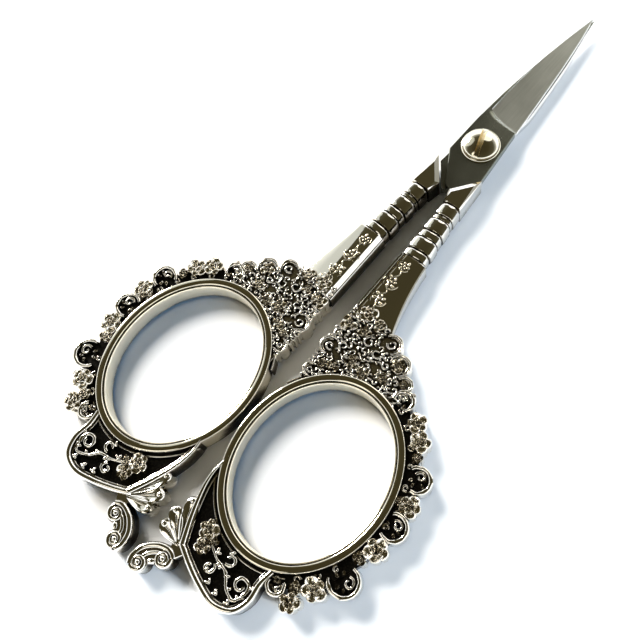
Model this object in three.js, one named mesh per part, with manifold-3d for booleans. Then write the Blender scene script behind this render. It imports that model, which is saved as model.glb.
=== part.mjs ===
// Sewing scissors with cast ornamental handles, lying closed and flat.
// Millimetres, +Z up. The Z axis is the pivot axis, +Y points to the blade tips and +X to the right
// handle, and z = 0 is the surface that the scissors lie on. Both halves are the same casting and the
// same blade: the lower half is the upper half turned over about the long axis.

import * as THREE from 'three';
import { mergeVertices } from 'three/addons/utils/BufferGeometryUtils.js';
import Module from 'manifold-3d';

const wasm = await Module();
wasm.setup();

// Driving dimensions. A "drop" is measured back from the pivot axis, towards the handles, and an
// "offset" sideways from the middle plane between the two halves.

// Blades
const TIP_REACH = 34.3; // pivot axis to the point
const TIP_OFFSET = 0.15; // each point lies a little past the middle plane
const BLADE_THICKNESS = 1.4;
const BLADE_GAP = 0.1; // running gap between the flat inside faces
const SPINE_OFFSET = 4.1; // spine at the heel
const SPINE_STRAIGHT_REACH = 4.0; // the spine is straight up to here
const SPINE_STRAIGHT_OFFSET = 3.95;
const SPINE_BELLY_BACK = 13.3; // control point of the spine's curve, back from the point
const SPINE_BELLY_OFFSET = 2.9;
const EDGE_CURVE_BACK = 15.3; // the cutting edge is straight up to here, back from the point
const EDGE_STRAIGHT_OFFSET = 2.05;
const EDGE_BELLY_BACK = 6.3; // control point of the edge's curve, back from the point
const EDGE_BELLY_OFFSET = 1.15;
const GRIND_REACH = 5.5; // the ground face starts here, in a step
const GRIND_SLANT = 1.2; // how far the step leans forward across the blade
const GRIND_SPINE_STRIP = 0.9; // unground strip along the spine, where the ground face starts
const EDGE_LAND = 0.35; // thickness left at the cutting edge
const HEEL_ANGLE = 31.2; // slant of the heel from the long axis, in degrees
const HEEL_CLEARANCE = 1.0; // heel to the collar of the other half, when closed
const TANG_WIDTH = 1.5;
const TANG_DROP = 28.0; // end of the tang inside the handle

// Pivot screw
const SCREW_DIAMETER = 3.2;
const SCREW_CLEARANCE = 0.1; // radial gap in both blades
const SCREW_FACE_GAP = 0.1; // under the head and over the peened end
const SCREW_HEAD_DIAMETER = 6.8;
const SCREW_HEAD_RIM = 0.5; // short cylindrical rim under the dome
const SCREW_DOME_HEIGHT = 1.3;
const SCREW_SLOT_WIDTH = 0.9;
const SCREW_SLOT_DEPTH = 0.9;
const SCREW_SLOT_ANGLE = 31.0; // slot from the long axis, in degrees
const PEENED_END_DIAMETER = 4.4;

// Collar, knuckles and shank
const COLLAR_RISE = 0.85; // handle faces stand this far above the blade faces
const COLLAR_INNER_OFFSET = 1.1;
const COLLAR_MOUTH_DROP = 10.3; // inner corner of the slanted front
const COLLAR_TIP_OFFSET = 4.6; // outer corner of the slanted front
const COLLAR_TIP_DROP = 5.9;
const COLLAR_BACK_DROP = 12.7;
const COLLAR_BACK_INNER = 1.6;
const COLLAR_BACK_OUTER = 5.1;
const COLLAR_BEVEL = 0.5;
const SEAT_GAP = 0.3; // blade shoulder to collar, and tang to its pocket
const KNUCKLE_COUNT = 3;
const KNUCKLE_BACK_DROP = 24.5;
const KNUCKLE_BACK_OFFSET = 4.3; // centre of the knuckles at the shank
const KNUCKLE_FRONT_HALF = 1.78; // half width at the collar
const KNUCKLE_BACK_HALF = 2.4; // half width at the shank
const KNUCKLE_GROOVE = 0.2; // depth of the waist beside each ring
const KNUCKLE_OVERLAP = 0.6; // how far the knuckles run into the collar and the shank
const SHANK_INNER_OFFSET = 1.95;
const SHANK_FRONT_OUTER = 7.1;
const SHANK_MIDDLE_OUTER = 7.9; // control point of the flared outer edge
const SHANK_MIDDLE_DROP = 32.0;
const SHANK_BACK_OUTER = 10.2;
const SHANK_BACK_DROP = 37.5;
const SHANK_ROOT = 3.0; // how far the shank runs into the crown
const SHANK_FLAT_FROM = 2.9; // flat middle face between the two bevels
const SHANK_FLAT_TO = 5.6;
const SHANK_INNER_WALL = 2.8; // wall height at the inner edge
const SHANK_OUTER_WALL = 1.6; // wall height at the flared end of the outer edge

// Finger bow
const BOW_GAP = 1.14; // between the two bows, when closed
const BOW_WIDTH = 23.74; // inside
const BOW_LENGTH = 29.14; // inside
const BOW_DROP = 61.84; // pivot axis to the middle of the bow
const BOW_TILT = 3.2; // degrees
const RIM_WIDTH = 1.65;
const RIM_THICKNESS = 4.2; // over the outer bead
const OUTER_BEAD = 0.75; // width of the outer bead
const OUTER_BEAD_BEVEL = 0.25;
const INNER_BEAD = 0.4;
const INNER_BEAD_THICKNESS = 3.7;
const COVE_THICKNESS = 3.2; // between the beads

// Ornament
const GROUND_THICKNESS = 2.2; // the sunk ground between the raised motifs
const RELIEF_THICKNESS = 4.2; // over the raised rims and scrolls
const VOLUTE_RIM = 0.5;
const VOLUTE_EYE = 0.45; // radius
const BORDER_WEB = 2.0; // width of the ground that carries the border motifs
const BORDER_FROM = -72; // degrees round the bow, from +X
const BORDER_TO = 92;
const CROWN_FROM = 75; // degrees round the bow, from +X
const CROWN_TO = 150;
const CROWN_SHOULDER = 4.5; // height of the crown's outer corner above the bow
const FRAME_RIM = 0.75; // raised rim of the cartouche
const FRAME_TIP_ANGLE = 214; // where the rim leaves the bow, in degrees from +X
const APEX_OFFSET = 6.2; // corner of the cartouche beside the shell
const APEX_DROP = 5.2; // below the bow
const BELLY_RADIUS = 3.9; // round lower end of the cartouche
const BELLY_OFFSET = 1.55; // from the middle of the bow
const BELLY_DROP = 4.1; // below the bow
const BELLY_TURN = 125; // degrees of its arc
const FRAME_FROM = -130; // degrees round the bow, from +X
const FRAME_TO = -75;
const SHELL_OFFSET = 6.0; // root of the shell's lobes
const SHELL_DROP = 5.5; // below the bow
const LOBE_TIP_RADIUS = 0.95;
const LOBE_ROOT_RADIUS = 0.45;
const TAIL_CLEARANCE = 0.65; // tail scroll to the middle plane
const TAIL_RADIUS = 4.35; // back of the tail scroll
const TAIL_BAND = 1.0; // width of its band
const TAIL_DROP = 10.9; // below the bow
const TAIL_VOLUTE = 1.65; // radius of its rolled ends
const TAIL_NECK = 1.4; // width of the neck between shell and scroll
const TAIL_THICKNESS = 3.8; // scroll and shell

// Motifs round the border: degrees from +X, distance outside the rim, radius
const BORDER_FLOWERS = [
  [-58, 3.9, 1.7],
  [-53, 3.3, 1.3],
  [-47, 2.8, 1.8],
  [-20, 1.3, 1.2],
  [-10, 2.3, 1.8],
  [19, 2.5, 1.8],
  [53, 2.3, 1.7],
  [63, 2.6, 1.6],
];
const BORDER_SCALLOPS = [
  [-66, 1.6, 1.5],
  [-31, 2.4, 2.6],
  [4, 1.8, 2.1],
  [34, 2.2, 2.2],
  [76, 1.6, 2.0],
];

// Motifs of the crown, from its heart: sideways, towards the tip, radius
const CROWN_FLOWERS = [
  [-2.8, 4.2, 1.7],
  [-4.4, 1.7, 1.6],
  [-0.6, 0.8, 1.9],
  [2.8, -0.5, 1.8],
  [6.2, 0.6, 1.7],
  [-1.4, -3.2, 1.6],
];
const CROWN_VOLUTES = [
  [3.3, 2.7, 1.6],
  [-4.5, -3.0, 1.7],
  [-4.4, -7.9, 1.6],
];

// Motifs of the cartouche, from the lowest point of the bow: sideways, towards the tip, radius
const FRAME_FLOWERS = [[-5.6, -1.0, 1.8]];
const FRAME_VOLUTES = [
  [3.3, -3.4, 1.6],
  [-1.4, -3.6, 1.3],
];

// Lobes of the shell: degrees from +X, length
const SHELL_LOBES = [
  [117, 7.1],
  [141, 5.1],
  [168, 3.5],
];

// Tail scroll, in degrees from +X: the run of its back, and its two rolled ends
const TAIL_BACK = [65, 190];
const TAIL_ENDS = [80, 185];

// Fineness of the round shapes
const BOW_SEGMENTS = 16;
const MOTIF_SEGMENTS = 4;
const LOBE_SEGMENTS = 2;
const EYE_SEGMENTS = 3;
const ROUND_SEGMENTS = 24;
const KNUCKLE_FACETS = 8;

// Heights, measured from the plane between the two blades
const BLADE_INSIDE = BLADE_GAP / 2;
const BLADE_FACE = BLADE_INSIDE + BLADE_THICKNESS;
const HANDLE_HALF = BLADE_FACE + COLLAR_RISE;
const HANDLE_THICKNESS = 2 * HANDLE_HALF;

// Plan points that several pieces share
const point = (x, y) => new THREE.Vector2(x, y);
const polar = (radius, angle) => point(radius * Math.cos(angle), radius * Math.sin(angle));
const radians = THREE.MathUtils.degToRad;
const collarMouth = point(COLLAR_INNER_OFFSET, -COLLAR_MOUTH_DROP);
const collarTip = point(COLLAR_TIP_OFFSET, -COLLAR_TIP_DROP);
const knuckleFront = point((COLLAR_BACK_INNER + COLLAR_BACK_OUTER) / 2, -COLLAR_BACK_DROP);
const knuckleBack = point(KNUCKLE_BACK_OFFSET, -KNUCKLE_BACK_DROP);
const bowHalf = point(BOW_WIDTH / 2 + RIM_WIDTH, BOW_LENGTH / 2 + RIM_WIDTH);
const bowCentre = point(BOW_GAP / 2 + bowHalf.x, -BOW_DROP);
const bowTop = point(bowCentre.x, bowCentre.y + bowHalf.y);
const bowBottom = point(bowCentre.x, bowCentre.y - bowHalf.y);

// The tang and the knuckles share one axis: this is the point on it at a given y.
function onHandleAxis(y) {
  const along = (y - knuckleFront.y) / (knuckleBack.y - knuckleFront.y);
  return knuckleFront.clone().lerp(knuckleBack, along);
}

// A point beside the bow's rim, at an angle from +X and a distance outside the rim.
function besideRim(degrees, standOff) {
  const angle = radians(degrees);
  const turned = angle - radians(BOW_TILT);
  const across = Math.hypot(bowHalf.y * Math.cos(turned), bowHalf.x * Math.sin(turned));
  return polar((bowHalf.x * bowHalf.y) / across + standOff, angle).add(bowCentre);
}

// Points along the rim between two angles.
function alongRim(fromDegrees, toDegrees, steps, standOff) {
  return Array.from({ length: steps + 1 }, (_, step) =>
    besideRim(THREE.MathUtils.lerp(fromDegrees, toDegrees, step / steps), standOff),
  );
}

// Solids

function solidOf(geometry) {
  const bare = geometry.clone();
  bare.deleteAttribute('normal');
  bare.deleteAttribute('uv');
  const merged = mergeVertices(bare, 1e-5);
  const vertProperties = new Float32Array(merged.attributes.position.array);
  const triVerts = new Uint32Array(merged.index.array);
  return new wasm.Manifold(new wasm.Mesh({ numProp: 3, vertProperties, triVerts }));
}

function geometryOf(solid) {
  const mesh = solid.getMesh();
  const geometry = new THREE.BufferGeometry();
  geometry.setAttribute('position', new THREE.BufferAttribute(mesh.vertProperties, 3));
  geometry.setIndex(new THREE.BufferAttribute(mesh.triVerts, 1));
  geometry.computeVertexNormals();
  return geometry;
}

function joined(solids) {
  return solids.reduce((whole, next) => whole.add(next));
}

// A plan shape between two heights.
function slabBetween(shape, low, high, curveSegments = MOTIF_SEGMENTS) {
  const depth = high - low;
  const geometry = new THREE.ExtrudeGeometry(shape, { depth, bevelEnabled: false, curveSegments });
  return solidOf(geometry.translate(0, 0, low));
}

// A plan shape of a given thickness, half of it on each side of the middle plane.
function slab(shape, thickness, curveSegments = MOTIF_SEGMENTS) {
  return slabBetween(shape, -thickness / 2, thickness / 2, curveSegments);
}

// The same with its edges bevelled inwards.
function bevelledSlab(shape, thickness, bevel, curveSegments = MOTIF_SEGMENTS) {
  const geometry = new THREE.ExtrudeGeometry(shape, {
    depth: thickness - 2 * bevel,
    bevelThickness: bevel,
    bevelSize: bevel,
    bevelOffset: -bevel,
    bevelSegments: 1,
    curveSegments,
  });
  return solidOf(geometry.translate(0, 0, bevel - thickness / 2));
}

// Plan shapes

function bowEllipse(inset, Kind) {
  const across = bowHalf.x - inset;
  const along = bowHalf.y - inset;
  const tilt = radians(BOW_TILT);
  return new Kind().absellipse(bowCentre.x, bowCentre.y, across, along, 0, 2 * Math.PI, false, tilt);
}

function bowBand(outerInset, innerInset) {
  const band = bowEllipse(outerInset, THREE.Shape);
  band.holes.push(bowEllipse(innerInset, THREE.Path));
  return band;
}

function disc(centre, radius) {
  return new THREE.Shape().absarc(centre.x, centre.y, radius, 0, 2 * Math.PI);
}

function hoop(centre, radius, width) {
  const shape = disc(centre, radius);
  shape.holes.push(new THREE.Path().absarc(centre.x, centre.y, radius - width, 0, 2 * Math.PI));
  return shape;
}

// A five-petalled flower seen from above.
function rosette(centre, radius) {
  const petals = 5;
  const between = (2 * Math.PI) / petals;
  const notch = 0.74 * radius;
  const points = [];
  for (let petal = 0; petal < petals; petal += 1) {
    points.push(polar(notch, petal * between).add(centre));
    points.push(polar(radius, (petal + 0.25) * between).add(centre));
    points.push(polar(radius, (petal + 0.75) * between).add(centre));
  }
  return new THREE.Shape(points);
}

// A lobe with round ends, narrow at its root and wide at its tip.
function lobe(root, heading, length, rootRadius, tipRadius) {
  const tip = polar(length, heading).add(root);
  const quarter = Math.PI / 2;
  const shape = new THREE.Shape();
  shape.absarc(root.x, root.y, rootRadius, heading + quarter, heading + 3 * quarter, false);
  shape.absarc(tip.x, tip.y, tipRadius, heading - quarter, heading + quarter, false);
  return shape;
}

// A band of even width along a row of points.
function ribbon(points, width) {
  const side = (sign) =>
    points.map((at, i) => {
      const before = points[Math.max(i - 1, 0)];
      const after = points[Math.min(i + 1, points.length - 1)];
      const along = after.clone().sub(before).normalize();
      return point(-along.y, along.x).multiplyScalar((sign * width) / 2).add(at);
    });
  return new THREE.Shape([...side(1), ...side(-1).reverse()]);
}

// Blade: flat inside face, ground outside face, slanted heel and a tang

// The shoulder stands off the collar's slanted front by the seat gap.
const frontAlong = collarTip.clone().sub(collarMouth).normalize();
const frontNormal = point(-frontAlong.y, frontAlong.x);
const shoulderInner = collarMouth.clone().addScaledVector(frontNormal, SEAT_GAP);
const shoulderOuter = collarTip.clone().addScaledVector(frontNormal, SEAT_GAP);
const bladeTip = point(-TIP_OFFSET, TIP_REACH);
const edgeStraightEnd = point(EDGE_STRAIGHT_OFFSET, TIP_REACH - EDGE_CURVE_BACK);

function bladePlan() {
  // The heel clears the other half's collar, whose front mirrors this one's.
  const awayFromOther = point(-frontNormal.x, frontNormal.y);
  const heelEnd = point(-collarMouth.x, collarMouth.y).addScaledVector(awayFromOther, HEEL_CLEARANCE);
  const heelRun = (SPINE_OFFSET + heelEnd.x) / Math.tan(radians(HEEL_ANGLE));
  const plan = new THREE.Shape();
  plan.moveTo(bladeTip.x, bladeTip.y);
  const spineBelly = point(-SPINE_BELLY_OFFSET, TIP_REACH - SPINE_BELLY_BACK);
  const edgeBelly = point(EDGE_BELLY_OFFSET, TIP_REACH - EDGE_BELLY_BACK);
  plan.quadraticCurveTo(spineBelly.x, spineBelly.y, -SPINE_STRAIGHT_OFFSET, SPINE_STRAIGHT_REACH);
  plan.lineTo(-SPINE_OFFSET, heelEnd.y + heelRun);
  plan.lineTo(heelEnd.x, heelEnd.y);
  plan.lineTo(shoulderInner.x, shoulderInner.y);
  plan.lineTo(shoulderOuter.x, shoulderOuter.y);
  plan.lineTo(edgeStraightEnd.x, edgeStraightEnd.y);
  plan.quadraticCurveTo(edgeBelly.x, edgeBelly.y, bladeTip.x, bladeTip.y);
  return plan;
}

// What the grinding takes off: all above a plane that falls from the strip along the spine to the
// cutting edge, in front of a slightly slanted step.
function groundAway() {
  const straightRun = (GRIND_REACH - shoulderOuter.y) / (edgeStraightEnd.y - shoulderOuter.y);
  const edgeStart = shoulderOuter.clone().lerp(edgeStraightEnd, straightRun);
  const alongEdge = bladeTip.clone().sub(edgeStart);
  const width = edgeStart.x + SPINE_STRAIGHT_OFFSET - GRIND_SPINE_STRIP;
  const reach = 3 * alongEdge.length();
  const above = new THREE.BoxGeometry(reach, reach, 2 * BLADE_THICKNESS);
  above.translate(0, 0, BLADE_THICKNESS);
  above.rotateY(Math.atan2(BLADE_THICKNESS - EDGE_LAND, width));
  above.rotateZ(alongEdge.angle() - Math.PI / 2);
  above.translate(edgeStart.x, edgeStart.y, BLADE_INSIDE + EDGE_LAND);
  const inFront = new THREE.Shape([
    edgeStart.clone().add(point(width, -GRIND_SLANT)),
    edgeStart.clone().add(point(width, reach)),
    edgeStart.clone().add(point(-width, reach)),
    edgeStart.clone().add(point(-width, GRIND_SLANT)),
  ]);
  return solidOf(above).intersect(slabBetween(inFront, 0, 2 * BLADE_FACE));
}

// The tang, or the room for it with a gap all round.
function tangBar(fromY, toY, gap) {
  const plan = ribbon([onHandleAxis(fromY), onHandleAxis(toY)], TANG_WIDTH + 2 * gap);
  return slabBetween(plan, BLADE_INSIDE - gap, BLADE_FACE + gap);
}

function bladeSolid() {
  const plate = slabBetween(bladePlan(), BLADE_INSIDE, BLADE_FACE, 8);
  const holeRadius = SCREW_DIAMETER / 2 + SCREW_CLEARANCE;
  const hole = slabBetween(disc(point(0, 0), holeRadius), 0, 2 * BLADE_FACE, ROUND_SEGMENTS / 2);
  const tang = tangBar((shoulderInner.y + shoulderOuter.y) / 2 + TANG_WIDTH, -TANG_DROP, 0);
  return plate.subtract(groundAway()).add(tang).subtract(hole);
}

// Pivot screw: peened flat end on the rest plane, plain shoulder, rim and slotted dome

function screwSolid() {
  const endTop = HANDLE_HALF - BLADE_FACE - SCREW_FACE_GAP;
  const headUnder = HANDLE_HALF + BLADE_FACE + SCREW_FACE_GAP;
  const rimTop = headUnder + SCREW_HEAD_RIM;
  const headTop = rimTop + SCREW_DOME_HEIGHT;
  const headRadius = SCREW_HEAD_DIAMETER / 2;
  const domeSteps = 5;
  const dome = Array.from({ length: domeSteps }, (_, step) => {
    const angle = ((Math.PI / 2) * step) / domeSteps;
    return point(headRadius * Math.cos(angle), rimTop + SCREW_DOME_HEIGHT * Math.sin(angle));
  });
  const profile = [
    point(0, 0),
    point(PEENED_END_DIAMETER / 2, 0),
    point(PEENED_END_DIAMETER / 2, endTop),
    point(SCREW_DIAMETER / 2, endTop),
    point(SCREW_DIAMETER / 2, headUnder),
    point(headRadius, headUnder),
    ...dome,
    point(0, headTop),
  ];
  const turned = solidOf(new THREE.LatheGeometry(profile, ROUND_SEGMENTS).rotateX(Math.PI / 2));
  const slotEnd = polar(SCREW_HEAD_DIAMETER, radians(SCREW_SLOT_ANGLE) - Math.PI / 2);
  const slotPlan = ribbon([slotEnd.clone().negate(), slotEnd], SCREW_SLOT_WIDTH);
  return turned.subtract(slabBetween(slotPlan, headTop - SCREW_SLOT_DEPTH, headTop + SCREW_SLOT_DEPTH));
}

// Handle casting, the same on both faces apart from the tang's pocket

function collarSolid() {
  const plan = new THREE.Shape([
    collarMouth,
    point(COLLAR_BACK_INNER, -COLLAR_BACK_DROP),
    point(COLLAR_BACK_OUTER, -COLLAR_BACK_DROP),
    collarTip,
  ]);
  return bevelledSlab(plan, HANDLE_THICKNESS, COLLAR_BEVEL);
}

// Bamboo-like knuckles: bulges parted by rings, growing wider towards the shank.
function knucklesSolid() {
  const length = knuckleFront.distanceTo(knuckleBack);
  const pitch = length / KNUCKLE_COUNT;
  const waist = HANDLE_HALF - KNUCKLE_GROOVE;
  const profile = [point(0, -KNUCKLE_OVERLAP), point(waist, -KNUCKLE_OVERLAP)];
  for (let knuckle = 0; knuckle < KNUCKLE_COUNT; knuckle += 1) {
    const start = knuckle * pitch;
    profile.push(point(waist, start));
    profile.push(point(HANDLE_HALF, start + 0.2 * pitch));
    profile.push(point(HANDLE_HALF, start + 0.4 * pitch));
    profile.push(point(waist, start + 0.6 * pitch));
    profile.push(point(HANDLE_HALF, start + 0.7 * pitch));
    profile.push(point(HANDLE_HALF, start + 0.9 * pitch));
  }
  profile.push(point(waist, length));
  profile.push(point(waist, length + KNUCKLE_OVERLAP));
  profile.push(point(0, length + KNUCKLE_OVERLAP));
  const barrel = new THREE.LatheGeometry(profile, KNUCKLE_FACETS, Math.PI / KNUCKLE_FACETS);
  const places = barrel.attributes.position;
  for (let i = 0; i < places.count; i += 1) {
    const half = THREE.MathUtils.mapLinear(places.getY(i), 0, length, KNUCKLE_FRONT_HALF, KNUCKLE_BACK_HALF);
    places.setX(i, (places.getX(i) * half) / HANDLE_HALF);
  }
  barrel.rotateZ(knuckleBack.clone().sub(knuckleFront).angle() - Math.PI / 2);
  return solidOf(barrel.translate(knuckleFront.x, knuckleFront.y, 0));
}

// Shank: a bar that flares towards the crown, with a flat middle face between two bevels.
function shankSolid() {
  const endDrop = SHANK_BACK_DROP + SHANK_ROOT;
  const plan = new THREE.Shape();
  plan.moveTo(SHANK_INNER_OFFSET, -KNUCKLE_BACK_DROP);
  plan.lineTo(SHANK_INNER_OFFSET, -endDrop);
  plan.lineTo(SHANK_BACK_OUTER, -endDrop);
  plan.lineTo(SHANK_BACK_OUTER, -SHANK_BACK_DROP);
  plan.quadraticCurveTo(SHANK_MIDDLE_OUTER, -SHANK_MIDDLE_DROP, SHANK_FRONT_OUTER, -KNUCKLE_BACK_DROP);
  const section = new THREE.Shape([
    point(SHANK_INNER_OFFSET, SHANK_INNER_WALL / 2),
    point(SHANK_INNER_OFFSET, -SHANK_INNER_WALL / 2),
    point(SHANK_FLAT_FROM, -HANDLE_HALF),
    point(SHANK_FLAT_TO, -HANDLE_HALF),
    point(SHANK_BACK_OUTER, -SHANK_OUTER_WALL / 2),
    point(SHANK_BACK_OUTER, SHANK_OUTER_WALL / 2),
    point(SHANK_FLAT_TO, HANDLE_HALF),
    point(SHANK_FLAT_FROM, HANDLE_HALF),
  ]);
  const bevelled = new THREE.ExtrudeGeometry(section, { depth: endDrop, bevelEnabled: false });
  return slab(plan, HANDLE_THICKNESS).intersect(solidOf(bevelled.rotateX(Math.PI / 2)));
}

// Oval bow: an outer bead, a cove and a thin inner bead round the finger hole.
function bowSolid() {
  return joined([
    slab(bowBand(0, RIM_WIDTH), COVE_THICKNESS, BOW_SEGMENTS),
    bevelledSlab(bowBand(0, OUTER_BEAD), RIM_THICKNESS, OUTER_BEAD_BEVEL, BOW_SEGMENTS),
    slab(bowBand(RIM_WIDTH - INNER_BEAD, RIM_WIDTH), INNER_BEAD_THICKNESS, BOW_SEGMENTS),
  ]);
}

function flower(centre, radius) {
  return slab(rosette(centre, radius), HANDLE_THICKNESS);
}

// A rolled scroll: a raised hoop and an eye on the sunk ground.
function volute(centre, radius, thickness = RELIEF_THICKNESS) {
  return joined([
    slab(disc(centre, radius), GROUND_THICKNESS),
    slab(hoop(centre, radius, VOLUTE_RIM), thickness),
    slab(disc(centre, VOLUTE_EYE), thickness, EYE_SEGMENTS),
  ]);
}

// Flowers and volutes at offsets from a plan point.
function cluster(heart, flowers, volutes) {
  return joined([
    ...flowers.map(([x, y, radius]) => flower(point(x, y).add(heart), radius)),
    ...volutes.map(([x, y, radius]) => volute(point(x, y).add(heart), radius)),
  ]);
}

// Border up the outer side of the bow: flowers and scallops on a narrow web of ground.
function borderSolid() {
  const steps = 16;
  const web = new THREE.Shape([
    ...alongRim(BORDER_FROM, BORDER_TO, steps, BORDER_WEB),
    ...alongRim(BORDER_TO, BORDER_FROM, steps, -RIM_WIDTH / 2),
  ]);
  return joined([
    slab(web, GROUND_THICKNESS),
    ...BORDER_FLOWERS.map(([angle, standOff, radius]) => flower(besideRim(angle, standOff), radius)),
    ...BORDER_SCALLOPS.map(([angle, standOff, radius]) => volute(besideRim(angle, standOff), radius)),
  ]);
}

// Crown between the bow and the shank: flowers and scrolls on a plate of ground.
function crownSolid() {
  const heart = point((SHANK_INNER_OFFSET + bowTop.x) / 2, (bowTop.y - SHANK_BACK_DROP) / 2);
  const plate = new THREE.Shape([
    point(SHANK_INNER_OFFSET + VOLUTE_RIM, -SHANK_BACK_DROP),
    ...alongRim(CROWN_TO, CROWN_FROM, 5, -RIM_WIDTH / 2),
    point(bowTop.x, bowTop.y + CROWN_SHOULDER),
    point(SHANK_BACK_OUTER, -SHANK_BACK_DROP),
  ]);
  return slab(plate, GROUND_THICKNESS).add(cluster(heart, CROWN_FLOWERS, CROWN_VOLUTES));
}

// Cartouche under the bow: a raised rim round a sunk ground, with a flower and scrolls.
function cartoucheSolid() {
  const apex = point(APEX_OFFSET, bowBottom.y - APEX_DROP);
  const belly = point(bowBottom.x + BELLY_OFFSET, bowBottom.y - BELLY_DROP);
  const leave = besideRim(FRAME_TIP_ANGLE, 0);
  const rim = new THREE.Path();
  rim.moveTo(leave.x, leave.y);
  rim.quadraticCurveTo(leave.x, (leave.y + apex.y) / 2, apex.x, apex.y);
  rim.absarc(belly.x, belly.y, BELLY_RADIUS, radians(-BELLY_TURN), 0, false);
  rim.lineTo(belly.x + BELLY_RADIUS, bowBottom.y + RIM_WIDTH);
  const rimPoints = rim.getPoints(6);
  const underBow = alongRim(FRAME_TO, FRAME_FROM, 4, -RIM_WIDTH / 2);
  return joined([
    slab(new THREE.Shape([...rimPoints, ...underBow]), GROUND_THICKNESS),
    slab(ribbon(rimPoints, FRAME_RIM), RELIEF_THICKNESS),
    cluster(bowBottom, FRAME_FLOWERS, FRAME_VOLUTES),
  ]);
}

// Tail: a shell of three lobes over a scroll with two rolled ends.
function tailSolid() {
  const root = point(SHELL_OFFSET, bowBottom.y - SHELL_DROP);
  const centre = point(TAIL_CLEARANCE + TAIL_RADIUS, bowBottom.y - TAIL_DROP);
  const middle = TAIL_RADIUS - TAIL_BAND / 2;
  const [backFrom, backTo] = TAIL_BACK.map(radians);
  const backLine = new THREE.Path().absarc(centre.x, centre.y, middle, backFrom, backTo, false);
  const back = backLine.getPoints(MOTIF_SEGMENTS);
  const rolled = TAIL_RADIUS - TAIL_VOLUTE;
  const [upper, lower] = TAIL_ENDS.map((angle) => polar(rolled, radians(angle)).add(centre));
  const lobes = SHELL_LOBES.map(([angle, length]) =>
    lobe(root, radians(angle), length, LOBE_ROOT_RADIUS, LOBE_TIP_RADIUS),
  );
  return joined([
    ...lobes.map((shape) => slab(shape, TAIL_THICKNESS, LOBE_SEGMENTS)),
    slab(ribbon([root, back[0]], TAIL_NECK), GROUND_THICKNESS),
    slab(ribbon(back, TAIL_BAND), TAIL_THICKNESS),
    slab(new THREE.Shape([...back, lower, upper]), GROUND_THICKNESS),
    volute(upper, TAIL_VOLUTE, TAIL_THICKNESS),
    volute(lower, TAIL_VOLUTE, TAIL_THICKNESS),
  ]);
}

function handleSolid() {
  const casting = joined([
    collarSolid(),
    knucklesSolid(),
    shankSolid(),
    crownSolid(),
    bowSolid(),
    borderSolid(),
    cartoucheSolid(),
    tailSolid(),
  ]);
  return casting.subtract(tangBar(0, -TANG_DROP - SEAT_GAP, SEAT_GAP));
}

// Assembly

function piece(name, geometry, color, roughness) {
  const mesh = new THREE.Mesh(geometry, new THREE.MeshStandardMaterial({ color, roughness, metalness: 1 }));
  mesh.name = name;
  return mesh;
}

const NICKEL = 0xb9b6ab;
const STEEL = 0x9a9a90;
const POLISHED = 0xd8d2c2;

const handleGeometry = geometryOf(handleSolid());
const bladeGeometry = geometryOf(bladeSolid());

const upperHalf = new THREE.Group();
upperHalf.add(piece('right_handle', handleGeometry, NICKEL, 0.25));
upperHalf.add(piece('upper_blade', bladeGeometry, STEEL, 0.35));
upperHalf.position.z = HANDLE_HALF;

const lowerHalf = new THREE.Group();
lowerHalf.add(piece('left_handle', handleGeometry, NICKEL, 0.25));
lowerHalf.add(piece('lower_blade', bladeGeometry, STEEL, 0.35));
lowerHalf.position.z = HANDLE_HALF;
lowerHalf.rotation.y = Math.PI;

const scissors = new THREE.Group();
scissors.add(upperHalf, lowerHalf);
scissors.add(piece('pivot_screw', geometryOf(screwSolid()), POLISHED, 0.12));

export default scissors;
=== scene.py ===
"""Sewing scissors with cast ornamental handles: looks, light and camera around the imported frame."""

import math

import bmesh
import bpy
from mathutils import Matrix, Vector, noise


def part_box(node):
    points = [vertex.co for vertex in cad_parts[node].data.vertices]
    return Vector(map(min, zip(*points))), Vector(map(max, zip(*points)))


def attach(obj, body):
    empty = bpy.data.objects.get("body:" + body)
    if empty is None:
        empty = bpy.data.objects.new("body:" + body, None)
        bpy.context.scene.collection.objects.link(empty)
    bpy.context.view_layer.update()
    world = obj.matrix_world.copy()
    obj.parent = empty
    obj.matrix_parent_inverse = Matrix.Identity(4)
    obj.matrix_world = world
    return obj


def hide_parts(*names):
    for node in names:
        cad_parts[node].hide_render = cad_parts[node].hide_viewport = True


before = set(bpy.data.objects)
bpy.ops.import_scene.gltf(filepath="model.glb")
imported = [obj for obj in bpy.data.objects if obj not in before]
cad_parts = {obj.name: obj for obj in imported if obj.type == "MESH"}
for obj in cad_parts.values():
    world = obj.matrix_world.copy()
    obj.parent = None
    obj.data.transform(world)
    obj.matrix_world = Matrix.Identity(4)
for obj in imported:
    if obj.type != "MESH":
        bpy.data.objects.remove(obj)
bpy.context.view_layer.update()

# Units: the shapes are drawn in millimetres and placed in metres
MM = 0.001

# The casting is drawn once, for the right handle, about the plane between the halves. The left handle
# is the same casting, turned over about the long axis.
HANDLE_LOW, HANDLE_HIGH = (corner[2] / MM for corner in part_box("right_handle"))
MIDDLE = (HANDLE_LOW + HANDLE_HIGH) / 2
FACE = HANDLE_HIGH - MIDDLE
HALVES = {
    "right": {"body": "upper_half", "turn": 1, "handle": "right_handle", "blade": "upper_blade"},
    "left": {"body": "lower_half", "turn": -1, "handle": "left_handle", "blade": "lower_blade"},
}

# Heights above the middle plane
GROUND = 1.15        # sunk ground of the ornament, painted nearly black as shade
CROWN_GROUND = 1.45  # the same under the dense crown
SCROLL = 2.05        # raised scrolls and rims
PETAL = 2.15         # rims of the petals
TAIL = 1.9           # shell and tail scroll
PANEL = FACE - 0.22  # sunk face of the shank, under its relief

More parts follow.
